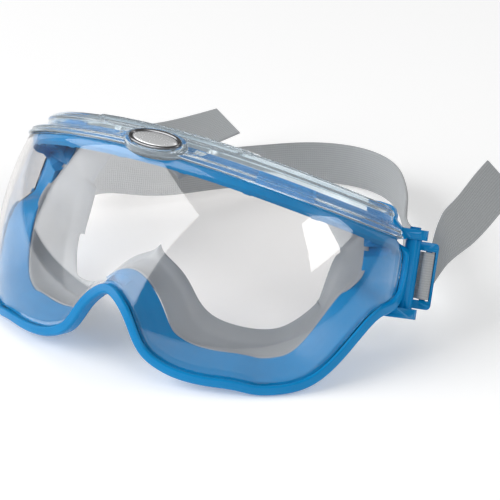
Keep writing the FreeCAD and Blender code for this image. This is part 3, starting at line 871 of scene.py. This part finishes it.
def strap_line():
    """The whole strap, from the right tail round both bars and the loop to the left tail.

    Gives the middle line, the width directions, and how square to the line each section is.
    """
    table_up = from_leaned((0, 0, 1))
    route = strap_side(1, TAIL_RIGHT)
    route += [(on_table(spot), table_up) for spot in LOOP]
    route += reversed(strap_side(-1, TAIL_LEFT))
    points = np.array([spot for spot, _ in route])
    length = np.linalg.norm(np.diff(points, axis=0), axis=1).sum()
    line = spline(points, int(length / RIB_PITCH * ROWS_PER_RIB))
    knots = [np.argmin(np.linalg.norm(line - spot, axis=1)) for spot in points]
    widths = np.column_stack([np.interp(np.arange(len(line)), knots, column)
                              for column in np.array([w for _, w in route]).T])
    fold = [np.argmin(np.linalg.norm(line - at_clip(*TAIL_START, side), axis=1))
            for side in (1, -1)]
    at = np.arange(len(line))
    square = ease((at - fold[0]) / FOLD_ROWS + 1) * ease((fold[1] - at) / FOLD_ROWS + 1)
    return line, widths, square


def build_strap():
    line, widths, square = strap_line()
    heading = np.gradient(line, axis=0)
    heading /= np.linalg.norm(heading, axis=1)[:, None]
    widths -= heading * (widths * heading).sum(1)[:, None] * square[:, None]
    widths /= np.linalg.norm(widths, axis=1)[:, None]
    flat = np.cross(heading, widths)
    run = np.concatenate(([0], np.cumsum(np.linalg.norm(np.diff(line, axis=0), axis=1))))
    edge_t = np.linspace(-pi / 2, pi / 2, 7)
    half_w, half_t = STRAP_W / 2, STRAP_T / 2
    across = np.concatenate((np.linspace(-half_w + half_t, half_w - half_t, FLAT_POINTS),
                             half_w - half_t + half_t * np.cos(edge_t[1:-1])))
    lift = np.concatenate((np.full(FLAT_POINTS, -half_t), half_t * np.sin(edge_t[1:-1])))
    across = np.concatenate((across, -across))
    lift = np.concatenate((lift, -lift))
    rib = RIB_RISE * np.cos(2 * pi * run / RIB_PITCH)
    outwards = np.sign(np.round(lift, 3))[None]
    rise = lift[None] + outwards * rib[:, None] * (np.abs(lift) / half_t)[None]
    rows = (line[:, None] + widths[:, None] * across[None, :, None]
            + flat[:, None] * rise[..., None])
    finish = webbing()
    middle = int(np.argmin(np.abs(line[:, 0]) + 1000 * (world(line)[:, 1] < LOOP_FROM)))
    splits = []
    for side in (1, -1):
        spot = at_clip(SPLIT_ALONG, SPLIT_BEHIND, side)
        splits.append(int(np.argmin(np.linalg.norm(line - spot, axis=1))))
    cuts = (("strap_end_right", 0, splits[0], "clip_right"),
            ("strap_half_right", splits[0], middle, "root"),
            ("strap_half_left", middle, splits[1], "root"),
            ("strap_end_left", splits[1], len(line) - 1, "clip_left"))
    for name, first, last, body in cuts:
        obj = piece("webbing_" + name, grid(rows[first:last + 1]), finish)
        uv = np.empty((last + 1 - first, len(across), 2))
        uv[..., 0] = across
        uv[..., 1] = run[first:last + 1, None]
        corner = np.empty(len(obj.data.loops), int)
        obj.data.loops.foreach_get("vertex_index", corner)
        layer = obj.data.uv_layers.new(name="webbing")
        layer.data.foreach_set("uv", uv.reshape(-1, 2)[corner].ravel())
        node = name if name.startswith("strap_end") else "strap_loop"
        if body != "root":
            own(obj, body, "strap_webbing", node)
        else:
            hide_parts(node)
            side = 1 if "right" in name else -1
            start = world(at_clip(SPLIT_ALONG, SPLIT_BEHIND, side))
            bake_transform(obj)


# ---- what stays as the CAD made it ----
def finish_pins():
    for name in ("clip_pin_right", "clip_pin_left"):
        slots = frame["nodes"][name].data.materials
        if len(slots):
            slots[0] = BLUE
        else:
            slots.append(BLUE)


# ---- studio ----
CAMERA_TURN = radians(33.0)     # these angles are set before the goggles lean back
CAMERA_RISE = radians(0.6)
CAMERA_ROLL = radians(15.61)
CAMERA_AWAY = 1.029
CAMERA_TARGET = (0.0, 44.8, 0.0)
CAMERA_LENS = 202.6
CAMERA_SENSOR = 36
CAMERA_SHIFT = (0.1235, -0.0013)
FLOOR_HALF = 6
FLOOR_GLOW = 0.22
STUDIO_LIGHT = 0.26
# Softboxes: name, place, width and height in metres, watts.
SOFTBOXES = [("key", (-1.0, -0.9, 0.72), (1.5, 1.3), 22),
             ("fill", (1.0, -0.33, 0.78), (0.7, 0.5), 4.5),
             ("top", (0.1, 0.5, 1.5), (1.0, 0.8), 3)]


def camera():
    data = bpy.data.cameras.new("camera")
    data.lens = CAMERA_LENS
    data.sensor_width = CAMERA_SENSOR
    data.shift_x, data.shift_y = CAMERA_SHIFT
    back = np.array((sin(CAMERA_TURN) * cos(CAMERA_RISE), -cos(CAMERA_TURN) * cos(CAMERA_RISE),
                     sin(CAMERA_RISE)))
    level = np.array((cos(CAMERA_TURN), sin(CAMERA_TURN), 0.0))
    above = np.cross(back, level)
    right = level * cos(CAMERA_ROLL) + above * sin(CAMERA_ROLL)
    up = above * cos(CAMERA_ROLL) - level * sin(CAMERA_ROLL)
    spot = world(CAMERA_TARGET) + LEAN @ back * CAMERA_AWAY
    matrix = Matrix.Identity(4)
    for k, column in enumerate((LEAN @ right, LEAN @ up, LEAN @ back, spot)):
        for row in range(3):
            matrix[row][k] = column[row]
    obj = bpy.data.objects.new("camera", data)
    obj.matrix_world = matrix
    bpy.context.scene.collection.objects.link(obj)
    bpy.context.scene.camera = obj


def softbox(name, spot, target, size, power):
    data = bpy.data.lights.new(name, "AREA")
    data.shape = "RECTANGLE"
    data.size, data.size_y = size
    data.energy = power
    obj = bpy.data.objects.new(name, data)
    obj.location = spot
    obj.rotation_euler = (Vector(target) - Vector(spot)).to_track_quat("-Z", "Y").to_euler()
    bpy.context.scene.collection.objects.link(obj)


def studio():
    mesh = bpy.data.meshes.new("floor")
    mesh.from_pydata([(-FLOOR_HALF, -FLOOR_HALF, 0), (FLOOR_HALF, -FLOOR_HALF, 0),
                      (FLOOR_HALF, FLOOR_HALF, 0), (-FLOOR_HALF, FLOOR_HALF, 0)],
                     [], [(0, 1, 2, 3)])
    floor = bpy.data.objects.new("floor", mesh)
    bpy.context.scene.collection.objects.link(floor)
    finish = Finish("floor")
    finish.set(Base_Color=(0.93, 0.93, 0.93, 1), Roughness=0.9, Emission_Color=(1, 1, 1, 1),
               Emission_Strength=FLOOR_GLOW)
    mesh.materials.append(finish.material)
    world_light = bpy.data.worlds.new("studio")
    world_light.use_nodes = True
    background = world_light.node_tree.nodes["Background"]
    background.inputs["Color"].default_value = (1, 1, 1, 1)
    background.inputs["Strength"].default_value = STUDIO_LIGHT
    bpy.context.scene.world = world_light
    middle = world((0, 40, 0))
    for name, spot, size, power in SOFTBOXES:
        softbox(name, spot, middle, size, power)
    bpy.context.scene.view_settings.view_transform = "Standard"


camera()
studio()
build_lens()
build_frame()
build_hood()
build_badge()
build_seal()
build_clip(1, "right")
build_clip(-1, "left")
build_strap()
finish_pins()
